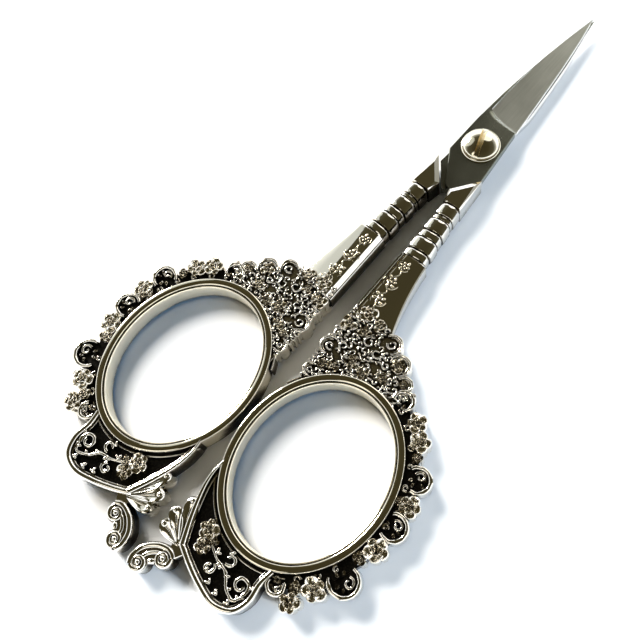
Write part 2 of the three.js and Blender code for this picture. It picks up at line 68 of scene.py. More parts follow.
# Cast surface: size, depth and seed of its unevenness, and the waist of its motifs
CRINKLE_SIZE, CRINKLE_DEPTH, CRINKLE_SEED = 0.75, 0.13, 5
WAIST, WAIST_HEIGHT = 0.8, 0.4  # share of the width, and height above the middle plane

# Edges sharper than these stay crisp: on rounded pieces, the knuckles, the blades and faceted pieces
ROUND_SHARP, KNUCKLE_SHARP, BLADE_SHARP, FACET_SHARP = (math.radians(turn) for turn in (42, 34, 20, 12))

# Finger bow: middle, half sizes over its outside, tilt, and its section as inset and height
BOW_X, BOW_Y = 14.09, -61.84
BOW_ACROSS, BOW_ALONG = 13.52, 16.22
BOW_TILT = math.radians(3.2)
BOW_STEPS = 144
BOW_BAND = [(0.03, 0.0), (0.0, 1.2), (0.0, 1.84), (0.04, 1.96), (0.12, 2.04), (0.26, 2.08), (0.65, 2.11)]
BOW_GROOVE = [(1.04, 2.06), (1.14, 1.99), (1.19, 1.88), (1.22, 1.72), (1.27, 1.65), (1.32, 1.7)]
BOW_BEAD = [(1.37, 1.8), (1.45, 1.86), (1.54, 1.84), (1.61, 1.75), (1.65, 1.55), (1.67, 0.8), (1.68, 0.0)]
BOW_FILLETS = [(-152, -62, 0.62, 40), (82, 148, 0.5, 30)]  # degrees round the bow, distance outside, steps
FILLET_HALF_WIDTH, FILLET_TOP = 0.13, GROUND + 0.3

# Border along the outer side of the bow: its ground in degrees round the bow and distances outside it
BORDER_RUN = (-72, 92)
BORDER_FAR, BORDER_NEAR = 2.0, -0.6
BORDER_FLOWERS = [  # x, y, radius
    (24.3, -78.4, 1.65), (25.9, -74.7, 1.95), (23.6, -76.3, 1.1), (29.3, -64.6, 1.95),
    (28.2, -67.0, 1.15), (29.2, -56.6, 1.8), (27.6, -57.0, 1.1), (24.4, -48.0, 1.75),
    (22.2, -46.0, 1.7), (25.6, -50.2, 0.9),
]
BORDER_SCALLOPS = [
    (21.2, -77.9, 1.5), (28.5, -71.0, 2.5), (29.2, -60.5, 2.25), (27.7, -52.8, 2.15),
    (18.4, -44.5, 1.75),
]
SCALLOP_DISH = [(0.1, -0.25), (0.6, -0.15), (0.9, 0.0), (1.0, -0.1)]  # radius share, rise from the ground
SCALLOP_SWEEP = 122  # half the arc of a scallop's rim, in degrees
SCALLOP_PETALS = (-75, -30, 150, 200)  # degrees from the outward heading
SCALLOP_PETAL_SIZE = (0.38, 0.26)
BORDER_CURLS = range(-66, 88, 11)  # degrees round the bow

# Crown between the bow and the shank
CROWN_INNER = [(2.5, -36.6), (2.2, -40.0), (2.1, -43.5), (2.2, -47.0), (2.6, -50.5)]
CROWN_OUTER = [(19.2, -43.0), (16.4, -42.4), (15.4, -39.8), (12.6, -38.6), (11.6, -36.9)]
CROWN_DISC = [(0.1, -0.05), (0.92, -0.05), (1.0, -0.2)]  # radius share, rise from the crown's ground
CROWN_FLOWERS = [  # x, y, radius
    (4.8, -36.5, 1.6), (3.3, -39.7, 1.5), (7.7, -37.2, 1.2), (6.3, -39.3, 1.15),
    (8.0, -44.6, 1.4), (14.2, -40.6, 1.35), (6.0, -46.9, 1.15), (13.5, -43.6, 1.25),
    (10.5, -45.1, 1.1), (16.8, -42.6, 0.9), (4.3, -47.8, 0.9),
]
CROWN_LOBES = [  # rounded edge of the crown: x, y, radius and outward heading
    (11.2, -38.4, 1.75, 45), (14.3, -40.5, 1.9, 55), (16.9, -42.5, 1.4, 60),
    (3.2, -44.6, 1.65, 180), (3.3, -49.6, 1.2, 190), (3.2, -42.0, 1.05, 170),
]
LOBE_LINES = [  # inset, half arc, steps, half width, drop
    (0.13, 105, 26, 0.2, 0.0), (0.5, 85, 22, 0.12, 0.15),
]
CROWN_SCROLLS = [  # x, y, radius, start and way round
    (11.2, -38.4, 1.05, 200, 1), (3.3, -44.6, 1.0, 330, -1), (3.3, -49.6, 0.75, 10, -1),
    (8.0, -40.3, 1.2, 120, 1), (5.1, -43.3, 1.0, 260, -1), (10.2, -41.1, 1.15, 40, -1),
    (12.6, -41.9, 0.85, 150, 1), (3.3, -42.0, 0.6, 90, 1),
]
CROWN_WINDOWS = [(5.4, -45.4, 1.0), (6.8, -42.3, 0.75), (11.2, -43.3, 0.9), (9.2, -38.9, 0.6)]  # bare
CURL_X, CURL_Y = 2.0, -51.0  # first place that is tried for a curl, and the grid of tries
CURL_ACROSS, CURL_ALONG = 0.48, 0.46
CURL_COLUMNS, CURL_ROWS = 38, 32

# Cartouche under the bow: its rim in two runs that meet at the apex, and its motifs
CARTOUCHE_TO_APEX = [(2.7, -68.4), (2.35, -71.4), (2.8, -74.5), (4.3, -78.8), (6.2, -82.9)]
CARTOUCHE_FROM_APEX = [
    (6.2, -82.9), (8.8, -84.1), (12.1, -85.3), (15.6, -86.0),
    (18.5, -84.9), (19.6, -82.2), (19.3, -79.2), (19.6, -76.8),
]
CARTOUCHE_FLOWERS = [(8.0, -78.5, 1.7), (8.9, -81.0, 1.35), (9.9, -79.4, 0.9)]
CARTOUCHE_STEM = [(9.6, -79.6), (12.0, -80.9), (14.2, -81.4), (15.8, -83.0), (17.6, -83.6), (18.7, -82.2)]
CARTOUCHE_CURLS = [  # middle, outer and inner radius, start, turns, steps, half widths at both ends
    ((17.2, -81.3), 1.45, 0.55, -40, 1.15, 30, (0.32, 0.26)),
    ((13.7, -79.6), 0.95, 0.45, 250, 0.8, 20, (0.27, 0.22)),
    ((11.7, -82.5), 1.0, 0.4, 70, -0.95, 20, (0.27, 0.22)),
]
CARTOUCHE_BUD = (11.6, -82.9)
CARTOUCHE_LEAVES = [  # x, y and heading of the leaf pairs along the stem and the rim
    (11.2, -80.2, 60), (12.9, -81.0, 250), (14.6, -81.9, 80), (15.9, -83.1, 10), (18.3, -83.0, 120),
    (17.5, -84.5, 160), (15.2, -84.6, 170), (13.3, -84.2, 150), (19.0, -80.3, 260), (13.0, -78.9, 20),
]

# Shell of ribbed lobes beside the cartouche: degrees from +X, length, half width
SHELL_ROOT = (6.0, -83.4)
SHELL_LOBES = [(115, 7.8, 1.45), (139, 6.3, 1.5), (166, 5.0, 1.4)]
SHELL_CUP = 0.75  # depth of a lobe's hollow, as a share of a petal's
SHELL_RIB = (0.15, 0.3, 0.45, 0.6, 0.75)  # shares of a lobe's length

# Tail scroll: rolled ends as x, y, radius, start and turns, then its back, inner line and grounds
TAIL_ENDS = [(5.35, -86.3, 1.65, 40, -1.3), (2.65, -89.15, 1.65, 235, 1.3)]
TAIL_EYE = 0.5
TAIL_BACK = [(6.6, -85.2), (5.3, -84.7), (3.3, -85.35), (1.7, -87.0), (1.25, -88.9), (1.7, -90.2)]
TAIL_INNER = [(5.2, -85.8), (4.0, -86.2), (2.9, -87.3), (2.6, -88.3)]
TAIL_LEAF = (4.1, -87.7)
TAIL_DISC = [(0.1, -0.4), (0.95, -0.4), (1.0, -0.6)]  # radius share, rise from the tail's height
TAIL_WEB = [
    (6.4, -84.2), (5.0, -84.8), (2.9, -85.6), (1.5, -87.2), (1.4, -89.0), (3.6, -88.8), (6.0, -86.5),
]
TAIL_NECK = [(4.7, -82.8), (7.6, -83.6), (6.7, -85.2), (5.2, -85.2)]

# Shank
SHANK_INNER, SHANK_FLAT_FROM, SHANK_FLAT_TO = 1.95, 2.9, 5.6
SHANK_COVERED, SHANK_LIFT = -38.2, 0.28  # the crown lies over the shank up to here, and this much higher
SHANK_OUTER = [(7.1, -24.5), (7.9, -32.0), (10.6, -38.4)]
SHANK_INNER_WALL, SHANK_OUTER_SLOPE = 1.4, 0.33
SHANK_BEAD = [(0.0, -0.1), (0.03, 0.05), (0.1, 0.12), (0.2, 0.12), (0.26, 0.06)]  # from that wall's top
SHANK_BORDER = [(-0.1, -0.09), (0.0, 0.0), (0.25, 0.0)]  # from the inner edge of the flat face
SHANK_NOSE_X, SHANK_NOSE_LENGTH = 4.2, 0.22  # its front narrows towards this line
SHANK_NOSE_WIDTH, SHANK_NOSE_HEIGHT = 0.94, 0.92
SHANK_SPRAYS = [  # x, y, size, heading
    (4.2, -26.4, 1.15, 60), (4.25, -29.9, 1.55, 75), (4.45, -33.4, 1.6, 80),
]
SPRAY_LEAVES = 6
SHANK_STEM = [
    (4.0, -26.9), (4.5, -28.1), (3.8, -29.4), (4.0, -30.9),
    (4.7, -31.8), (4.1, -33.0), (4.5, -34.4), (4.8, -35.3),
]
STEM_FORK = 0.5

# Knuckles and collar
KNUCKLE_FRONT, KNUCKLE_BACK = (3.35, -12.7), (4.3, -24.5)
KNUCKLE_HALF_WIDTHS = (1.78, 2.4)
KNUCKLE_RUN = [  # start, end and size of each barrel and ring, as shares
    (0.0, 0.21, 1.0), (0.21, 0.28, 0.92), (0.28, 0.5, 1.0),
    (0.5, 0.63, 0.93), (0.63, 0.85, 1.0), (0.85, 0.98, 0.93),
]
KNUCKLE_SECTION = [(1, 0.4), (0.85, 0.8), (0.46, 1), (-0.46, 1), (-0.85, 0.8), (-1, 0.4)]  # upper half
KNUCKLE_ENDS = [(-0.04, 0.76), (1.03, 0.76)]  # share of the length, and size
KNUCKLE_NECK, KNUCKLE_SQUARE = 0.2, 9  # how much the knuckles narrow at their joints, and how suddenly
COLLAR = [(1.1, -10.3), (1.6, -12.7), (5.1, -12.7), (4.6, -5.9)]
COLLAR_TOP = [(1.75, -10.75), (1.85, -12.55), (4.85, -12.55), (4.25, -7.6)]
COLLAR_BEVEL = 0.4

# Blades: heights above the middle plane, and the plan of the upper blade
BLADE_INSIDE, BLADE_FACE, EDGE_LAND = 0.05, 1.45, 0.35
BLADE_CHAMFER, EDGE_HONE, EDGE_THICKNESS = 0.09, 0.12, 0.08
BLADE_TIP = (-0.15, 34.7)
TIP_END = BLADE_TIP[1] - 0.05
SPINE_HEEL, SPINE_STRAIGHT, SPINE_BELLY = (-4.1, -3.43), (-3.95, 4.0), (-2.9, 21.0)
EDGE_STRAIGHT, EDGE_BELLY = (2.05, 19.0), (1.15, 28.0)
HEEL_END, SHOULDER_INNER, SHOULDER_OUTER = (-0.317, -9.68), (0.865, -10.11), (4.365, -5.71)
GRIND_START, GRIND_SLANT, GRIND_CURL, GRIND_RAMP, GRIND_HOLLOW = 5.4, 0.4, 1.3, 0.8, 0.1
SPINE_STRIP, SPINE_STRIP_END, STRIP_STEP, SPINE_BEVEL = 0.9, 22.0, 0.22, 0.3
LOWER_TUCK = [  # y and distance: the upper blade covers the lower blade's ricasso
    (-8.0, 0.0), (-4.0, 1.1), (5.4, 1.1), (10.0, 0.3), (24.0, 0.0),
]

# Pivot screw, heights above the rest plane
SCREW_RADIUS, SCREW_HEAD_RADIUS, SCREW_END_RADIUS = 1.6, 3.4, 2.2
SCREW_HEAD_UNDER, SCREW_TOP, SCREW_END_TOP = 3.85, 5.62, 0.75
SCREW_CLEARANCE, SCREW_END_CHAMFER = 0.1, 0.1
SCREW_FLANGE = [  # conical flange round the dome: from the head's radius and underside
    (-0.15, 0.0), (-0.03, 0.02), (0.0, 0.07), (-0.13, 0.24), (-0.2, 0.26), (-0.24, 0.2), (-0.26, 0.2),
]
SCREW_DOME_EDGE = 0.5  # rounding of the dome's edge
SCREW_EDGE_TILT = math.radians(37.5)  # slope at which the dome takes over from that rounding
SCREW_SLOT_WIDTH, SCREW_SLOT_DEPTH, SCREW_SLOT_TURN = 0.9, 0.9, math.radians(19)


# Plan geometry

def polar(centre, radius, angle):
    return (centre[0] + radius * math.cos(angle), centre[1] + radius * math.sin(angle))


def around(count):
    """Angles spread evenly round a circle."""
    return [2 * math.pi * i / count for i in range(count)]


def arc(centre, radius, start, end, steps):
    """Plan points along a circular arc between two angles in degrees."""
    angles = (math.radians(start + (end - start) * i / steps) for i in range(steps + 1))
    return [polar(centre, radius, angle) for angle in angles]


def spiral(centre, outer, inner, start, turns, steps):
    """Plan points of a spiral that winds inwards; negative turns wind clockwise."""
    points = []
    for i in range(steps + 1):
        share = i / steps
        angle = math.radians(start) + 2 * math.pi * turns * share
        points.append(polar(centre, outer + (inner - outer) * share ** 0.8, angle))
    return points


def smooth(points, steps=8):
    """A curve through plan points."""
    ends = [points[0]] + list(points) + [points[-1]]
    curve = []
    for before, a, b, after in zip(ends, ends[1:], ends[2:], ends[3:]):
        for i in range(steps):
            t = i / steps
            curve.append(tuple(
                0.5 * (
                    2 * q + (r - p) * t
                    + (2 * p - 5 * q + 4 * r - s) * t ** 2
                    + (3 * q - p - 3 * r + s) * t ** 3
                )
                for p, q, r, s in zip(before, a, b, after)
            ))
    return curve + [points[-1]]


def bend(a, control, b, t):
    """A point on a plan curve from a to b."""
    return tuple((1 - t) ** 2 * p + 2 * t * (1 - t) * q + t ** 2 * r for p, q, r in zip(a, control, b))


def beside_bow(angle, outside):
    """A plan point on the bow's oval, at a distance outside the bow."""
    u = (BOW_ACROSS + outside) * math.cos(angle)
    v = (BOW_ALONG + outside) * math.sin(angle)
    return (
        BOW_X + u * math.cos(BOW_TILT) - v * math.sin(BOW_TILT),
        BOW_Y + u * math.sin(BOW_TILT) + v * math.cos(BOW_TILT),
    )


def along_bow(start, end, outside, steps):
    return [beside_bow(math.radians(start + (end - start) * i / steps), outside) for i in range(steps + 1)]


def headings(path):
    """Heading of a plan path at each of its points."""
    befores, afters = path[:1] + path[:-1], path[1:] + path[-1:]
    return [math.atan2(b[1] - a[1], b[0] - a[0]) for a, b in zip(befores, afters)]


def beside(point, heading, distance):
    """A plan point to the left of a point on a path."""
    return (point[0] - distance * math.sin(heading), point[1] + distance * math.cos(heading))


def inset_path(path, distance):
    """A plan path moved sideways, to the left of its run."""
    return [beside(point, heading, distance) for point, heading in zip(path, headings(path))]


def inside(point, outline):
    """Whether a plan point lies within a closed outline."""
    x, y = point
    odd = False
    for (ax, ay), (bx, by) in zip(outline, outline[1:] + outline[:1]):
        if (ay > y) != (by > y) and x < ax + (bx - ax) * (y - ay) / (by - ay):
            odd = not odd
    return odd


def tapered(width, ends=0.35):
    """A width that swells in the middle of a line."""
    return lambda share: width * (ends + (1 - ends) * math.sin(math.pi * share) ** 0.6)


def narrowing(start, end):
    return lambda share: start + (end - start) * share


# Mesh building

class Form:
    """Points in millimetres and faces, gathered for one piece."""

    def __init__(self):
        self.points = []
        self.faces = []

    def add(self, points, faces):
        first = len(self.points)
        self.points.extend(points)
        self.faces.extend(tuple(first + i for i in face) for face in faces)

    def crinkle(self):
        """Gives the form the uneven surface of a small casting, half as uneven in height."""
        for i, (x, y, z) in enumerate(self.points):
            shift = noise.noise_vector(Vector((x, y, z)) / CRINKLE_SIZE) * CRINKLE_DEPTH
            self.points[i] = (x + shift.x, y + shift.y, z + 0.5 * shift.z)


def loft(form, rings, closed=False):
    """Joins rings of points with faces; an open row of rings is capped at both ends."""
    count = len(rings[0])
    faces = []
    for r in range(len(rings) if closed else len(rings) - 1):
        here = r * count
        there = ((r + 1) % len(rings)) * count
        for i in range(count):
            j = (i + 1) % count
            faces.append((here + i, here + j, there + j, there + i))
    if not closed:
        faces.append(tuple(range(count)))
        faces.append(tuple(range((len(rings) - 1) * count, len(rings) * count)))
    form.add([point for ring in rings for point in ring], faces)


def lofted(rings):
    form = Form()
    loft(form, rings)
    return form


def both_faces(section):
    """Half a section, in pairs that end with a height, and its copy below the middle plane."""
    return section + [(side, -height) for side, height in reversed(section)]


def boss(form, place, size, heading, profile, sides=12):
    """An oval boss, the same on both faces: the profile holds pairs of radius share and height."""
    rings = []
    for share, height in both_faces(profile + [(WAIST * profile[-1][0], WAIST_HEIGHT)]):
        ring = []
        for angle in around(sides):
            u = share * size[0] * math.cos(angle)
            v = share * size[1] * math.sin(angle)
            ring.append((
                place[0] + u * math.cos(heading) - v * math.sin(heading),
                place[1] + u * math.sin(heading) + v * math.cos(heading),
                height,
            ))
        rings.append(ring)
    loft(form, rings)


def disc(form, place, radius, level, profile, sides=28):
    """A round boss whose profile holds pairs of radius share and rise from a level."""
    boss(form, place, (radius, radius), 0, [(share, level + rise) for share, rise in profile], sides)


def bead(form, place, radius, top, along=1.0, heading=0.0):
    """A round-topped boss, or a leaf where it is longer than wide."""
    steps = 4
    profile = []
    for i in range(steps + 1):
        angle = math.pi / 2 * (1 - (i + 0.25) / (steps + 0.25))
        profile.append((math.cos(angle), top - radius * (1 - math.sin(angle))))
    boss(form, place, (radius * along, radius), heading, profile)


def rib(form, path, half_width, top):
    """A round-topped wall along a plan path, the same on both faces."""
    rings = []
    steps = 5
    for i, (point, heading) in enumerate(zip(path, headings(path))):
        width = half_width(i / (len(path) - 1)) if callable(half_width) else half_width
        section = [(WAIST * width, WAIST_HEIGHT)]
        for k in range(steps + 1):
            angle = math.pi * k / steps
            section.append((width * math.cos(angle), top - width * (1 - math.sin(angle))))
        section.append((-WAIST * width, WAIST_HEIGHT))
        rings.append([(*beside(point, heading, side), height) for side, height in both_faces(section)])
    loft(form, rings)


def slab(form, outline, top, height, bevel):
    """A block between minus and plus a height, bevelled from its outline to that of its top."""
    levels = ((top, height), (outline, height - bevel), (outline, bevel - height), (top, -height))
    loft(form, [[(x, y, level) for x, y in line] for line, level in levels])


def plate(form, outline, height, edge=0.12):
    """A slab with a small bevel that is drawn towards its middle."""
    middle = [sum(values) / len(outline) for values in zip(*outline)]
    top = []
    for x, y in outline:
        reach = math.hypot(middle[0] - x, middle[1] - y)
        top.append((x + (middle[0] - x) * edge / reach, y + (middle[1] - y) * edge / reach))
    slab(form, outline, top, height, edge)


def outward_mesh(name, points, faces):
    """A mesh whose faces all point out."""
    mesh = bpy.data.meshes.new(name)
    mesh.from_pydata(points, [], faces)
    work = bmesh.new()
    work.from_mesh(mesh)
    bmesh.ops.recalc_face_normals(work, faces=work.faces)
    work.to_mesh(mesh)
    work.free()
    return mesh


def placed_mesh(name, form, turn, sharp=ROUND_SHARP):
    """A mesh in metres, with nothing below the rest plane; turn is -1 for the lower half, or else 1."""
    points = [(turn * x * MM, y * MM, max(MIDDLE + turn * z, 0) * MM) for x, y, z in form.points]
    mesh = outward_mesh(name, points, form.faces)
    mesh.shade_smooth()
    mesh.set_sharp_from_angle(angle=sharp)
    return mesh


def new_object(name, data):
    thing = bpy.data.objects.new(name, data)
    bpy.context.scene.collection.objects.link(thing)
    return thing


def cut_away(mesh, cutter_form, sharp):
    """The mesh with a closed form taken out of it; the form is in millimetres in the frame."""
    points = [(x * MM, y * MM, z * MM) for x, y, z in cutter_form.points]
    cutter = new_object("cutter", outward_mesh("cutter", points, cutter_form.faces))
    target = new_object("target", mesh)
    cut = target.modifiers.new("cut", "BOOLEAN")
    cut.operation = "DIFFERENCE"
    cut.solver = "EXACT"
    cut.object = cutter
    result = bpy.data.meshes.new_from_object(target.evaluated_get(bpy.context.evaluated_depsgraph_get()))
    for thing in (cutter, target):
        bpy.data.objects.remove(thing)
    result.set_sharp_from_angle(angle=sharp)
    return result


def add_piece(name, mesh, material, body, node):
    piece = new_object(name, mesh)
    mesh.materials.append(material)
    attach(piece, body)
    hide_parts(node)


# Flowers

PETAL_CUP = [(0.1, -0.5), (0.44, -0.44), (0.66, -0.12), (0.8, 0.0), (0.93, -0.12), (1.0, -0.5)]
FULL_CUP = 0.5  # half width from which a petal's cup has its full depth
ROSE = [(5, 0.63, 0.44, 0.16), (4, 0.3, 0.3, 0.0), (1, 0.0, 0.2, -0.08)]  # petals, distance, size, drop


def petal(form, place, size, heading, top):
    """A cupped petal; a small one has a shallower cup."""
    depth = min(size[1] / FULL_CUP, 1)
    boss(form, place, size, heading, [(share, top + depth * fall) for share, fall in PETAL_CUP])


def flower(form, place, radius, turn, lift):
    """A small rose: rings of uneven cupped petals that rise towards its middle."""
    for count, distance, size, drop in ROSE:
        for k, angle in enumerate(around(count)):
            heading = turn + 5 * distance + angle
            uneven = 1 + 0.16 * math.sin(2.7 * k + 5 * turn + 9 * distance)
            sizes = (0.9 * size * radius * uneven, 1.1 * size * radius * uneven)
            top = PETAL + lift - drop - 0.1 * (k % 2)
            petal(form, polar(place, distance * radius, heading), sizes, heading, top)


def over_shank(place):
    """How much higher a motif stands where it lies on the end of the shank."""
    return SHANK_LIFT if place[1] > SHANK_COVERED else 0.0


def flowers(form, places):
    for i, (x, y, radius) in enumerate(places):
        flower(form, (x, y), radius, 0.7 * i, over_shank((x, y)))


# Finger bow and border

def bow_rim(form):
    """A broad band, a groove and a thin inner bead round the finger hole."""
    profile = BOW_BAND + BOW_GROOVE + BOW_BEAD
    section = profile + [(inset, -height) for inset, height in reversed(profile[1:-1])]
    rings = [
        [(*beside_bow(angle, -inset), height) for inset, height in section]
        for angle in around(BOW_STEPS)
    ]
    loft(form, rings, closed=True)


def bow_fillet(form):
    """Thin raised lines along the bow, beside the cartouche's and the crown's ground."""
    for run in BOW_FILLETS:
        rib(form, along_bow(*run), FILLET_HALF_WIDTH, FILLET_TOP)


def border_ground(form):
    """A sunk strip along the bow, with a dish for each scallop."""
    far_edge, near_edge = (along_bow(*BORDER_RUN, outside, 40) for outside in (BORDER_FAR, BORDER_NEAR))
    loft(form, [
        [(*far, GROUND), (*near, GROUND), (*near, -GROUND), (*far, -GROUND)]
        for far, near in zip(far_edge, near_edge)
    ])
    for x, y, radius in BORDER_SCALLOPS:
        disc(form, (x, y), radius, GROUND, SCALLOP_DISH)


def border_scallops(form):
    """A bold rim round each dark scallop, with a small scroll and petals inside."""
    for i, (x, y, radius) in enumerate(BORDER_SCALLOPS):
        outward = math.degrees(math.atan2(y - BOW_Y, x - BOW_X))
        rim = arc((x, y), radius - 0.2, outward - SCALLOP_SWEEP, outward + SCALLOP_SWEEP, 26)
        rib(form, rim, tapered(0.34, 0.7), SCROLL)
        eye = polar((x, y), 0.3 * radius, math.radians(outward + 50))
        curl = spiral(eye, 0.4 * radius, 0.12 * radius, outward + 150, -1.0, 20)
        rib(form, curl, narrowing(0.23, 0.15), SCROLL - 0.2)
        for turn in SCALLOP_PETALS:
            away = math.radians(outward + turn + 9 * i)
            petal(form, polar((x, y), 0.5 * radius, away), SCALLOP_PETAL_SIZE, away, SCROLL - 0.3)


def border_curls(form):
    """Small curls that fill the border between its flowers and the bow."""
    for i, angle in enumerate(BORDER_CURLS):
        place = beside_bow(math.radians(angle), 0.75)
        path = spiral(place, 0.6, 0.2, 40 * i, 0.9 if i % 2 else -0.9, 14)
        rib(form, path, narrowing(0.2, 0.13), SCROLL - 0.45)


# Crown

def crown_outline():
    return CROWN_INNER + along_bow(146, 72, -0.3, 16) + CROWN_OUTER


def crown_ground(form):
    plate(form, crown_outline(), CROWN_GROUND, 0.25)
    for x, y, radius, _ in CROWN_LOBES:
        disc(form, (x, y), radius, CROWN_GROUND, CROWN_DISC)


def crown_lobes(form):
    """A double line round each lobe of the crown's edge."""
    for x, y, radius, outward in CROWN_LOBES:
        for inset, sweep, steps, half_width, drop in LOBE_LINES:
            path = arc((x, y), radius - inset, outward - sweep, outward + sweep, steps)
            rib(form, path, tapered(half_width, 0.6), SCROLL - drop)


def crown_scrolls(form):
    for x, y, radius, start, way in CROWN_SCROLLS:
        path = spiral((x, y), radius - 0.2, 0.35 * radius, start, 0.95 * way, 26)
        rib(form, path, narrowing(0.17, 0.11), SCROLL)


def crown_curls(form):
    """Short curls wherever the crown's flowers, scrolls, lobes and bare windows leave room."""
    outline = crown_outline()
    taken = [motif[:3] for motif in CROWN_FLOWERS + CROWN_SCROLLS + CROWN_WINDOWS + CROWN_LOBES]
    for index in range(CURL_ROWS * CURL_COLUMNS):
        row, column = divmod(index, CURL_COLUMNS)
        shift = CURL_ACROSS / 2 * (row % 2)
        place = (CURL_X + CURL_ACROSS * column + shift, CURL_Y + CURL_ALONG * row)
        free = min(math.dist(place, (x, y)) - 0.94 * radius for x, y, radius in taken)
        if free < 0 or not inside(place, outline):
            continue
        size = 0.48 + 0.1 * math.sin(1.7 * index)
        top = SCROLL - 0.12 + 0.12 * math.sin(2.9 * index) + over_shank(place)
        turns = 0.72 if index % 2 else -0.72
        path = spiral(place, size, 0.4 * size, math.degrees(2.4 * index), turns, 10)
        rib(form, path, narrowing(0.14, 0.1), top)
        taken.append((*place, 1.35 * size))


# Cartouche

def cartouche_rim_path():
    return smooth(CARTOUCHE_TO_APEX)[:-1] + smooth(CARTOUCHE_FROM_APEX)


def cartouche_ground(form):
    plate(form, cartouche_rim_path() + along_bow(-62, -148, -0.7, 18), GROUND - 0.1)


def rim_half_width(share):
    """The rim starts thin, soon grows to a bold band and thins a little towards its end."""
    return 0.16 + 0.42 * min(3 * share, 1) - 0.12 * share


def cartouche_rim(form):
    """A bold round band, with a thin line along its inner side."""
    path = cartouche_rim_path()
    rib(form, inset_path(path, 0.08), rim_half_width, SCROLL + 0.05)
    rib(form, inset_path(path, 0.72)[5:-3], 0.15, SCROLL - 0.5)


def cartouche_scrolls(form):
    """A stem with curls and leaves that runs from the flowers to a large spiral."""
    top = SCROLL - 0.1
    rib(form, smooth(CARTOUCHE_STEM), narrowing(0.2, 0.3), top)
    for *curl, half_widths in CARTOUCHE_CURLS:
        rib(form, spiral(*curl), narrowing(*half_widths), top)
    bead(form, CARTOUCHE_BUD, 0.42, top)
    for i, (x, y, degrees) in enumerate(CARTOUCHE_LEAVES):
        heading = math.radians(degrees)
        for turn in (-0.6, 0.6):
            leaf = polar((x, y), 0.42, heading + turn)
            bead(form, leaf, 0.24, top - 0.05 * (i % 2), 1.7, heading + turn)
        bead(form, (x, y), 0.22, top)


# Shell and tail

def lobe(form, degrees, length, half_width):
    """A hollow leaf that widens from the shell's root, with a rib along its middle and a rolled tip."""
    heading = math.radians(degrees)
    sides = 28
    rings = []
    profile = [(share, TAIL + SHELL_CUP * fall) for share, fall in PETAL_CUP] + [(WAIST, WAIST_HEIGHT)]
    for share, height in both_faces(profile):
        ring = []
        for angle in around(sides):
            along = polar(SHELL_ROOT, length * (0.5 + 0.5 * share * math.cos(angle)), heading)
            aside = half_width * share * math.sin(angle) * (0.64 + 0.36 * math.cos(angle))
            ring.append((*polar(along, 1.25 * aside, heading + math.pi / 2), height))
        rings.append(ring)
    loft(form, rings)
    middle = [polar(SHELL_ROOT, length * share, heading) for share in SHELL_RIB]
    rib(form, middle, narrowing(0.12, 0.2), TAIL - 0.2)
    bead(form, polar(SHELL_ROOT, length - 0.7, heading), 0.72, TAIL + 0.12)


def shell(form):
    """Lobes that spread from the apex of the cartouche."""
    for place in SHELL_LOBES:
        lobe(form, *place)


def tail_scroll(form):
    """A C-shaped double band with two rolled ends and a leaf between them."""
    rib(form, smooth(TAIL_BACK), tapered(0.56, 0.8), TAIL)
    rib(form, smooth(TAIL_INNER), tapered(0.4, 0.6), TAIL - 0.1)
    for x, y, radius, start, turns in TAIL_ENDS:
        rib(form, spiral((x, y), radius - 0.4, TAIL_EYE, start, turns, 44), narrowing(0.46, 0.34), TAIL)
        bead(form, (x, y), TAIL_EYE, TAIL + 0.1)
    bead(form, TAIL_LEAF, 0.5, TAIL - 0.1, 1.6, math.radians(45))


def tail_ground(form):
    for x, y, radius, _, _ in TAIL_ENDS:
        disc(form, (x, y), radius - 0.1, TAIL, TAIL_DISC, 24)
    plate(form, TAIL_WEB, TAIL - 0.45)
    plate(form, TAIL_NECK, TAIL - 0.25)


# Shank, knuckles and collar

def shank_section(outer):
    """Half of the shank's section, from its inner wall to its outer edge, in pairs of x and height."""
    fall = SHANK_OUTER_SLOPE * (outer - SHANK_FLAT_TO)
    bead_line = [(SHANK_INNER + inset, SHANK_INNER_WALL + rise) for inset, rise in SHANK_BEAD]
    border_line = [(SHANK_FLAT_FROM + inset, FACE + rise) for inset, rise in SHANK_BORDER]
    panel = [(SHANK_FLAT_FROM + 0.33, PANEL), (SHANK_FLAT_TO - 0.3, PANEL), (SHANK_FLAT_TO, PANEL - 0.06)]
    outer_bevel = [
        ((SHANK_FLAT_TO + outer) / 2, FACE - 0.45 * fall - 0.12),
        (outer - 0.25, FACE - fall),
        (outer - 0.05, FACE - fall - 0.15),
        (outer, FACE - fall - 0.4),
    ]
    return bead_line + border_line + panel + outer_bevel


def shank(form):
    steps = 24
    rings = []
    for i in range(steps + 1):
        outer, y = bend(*SHANK_OUTER, i / steps)
        rings.append([(x, y, z) for x, z in both_faces(shank_section(outer))])
    nose = [
        (SHANK_NOSE_X + SHANK_NOSE_WIDTH * (x - SHANK_NOSE_X), y + SHANK_NOSE_LENGTH, SHANK_NOSE_HEIGHT * z)
        for x, y, z in rings[0]
    ]
    loft(form, [nose] + rings)


def spray(form, x, y, size, degrees):
    """Uneven leaves round a bead, and two short arcs behind them."""
    heading = math.radians(degrees)
    bead(form, (x, y), 0.17 * size, FACE + 0.02)
    for k, angle in enumerate(around(SPRAY_LEAVES)):
        turn = heading + angle
        uneven = 1 + 0.28 * math.sin(2.3 * k + 4 * y)
        leaf = polar((x, y), 0.52 * size * uneven, turn)
        bead(form, leaf, 0.17 * size * uneven, FACE - 0.01, 1.7, turn + 0.5)
    for way in (-1, 1):
        start = math.degrees(heading) + 180 - 25 * way
        rib(form, arc((x, y), 0.9 * size, start, start - 75 * way, 12), tapered(0.12), FACE - 0.04)


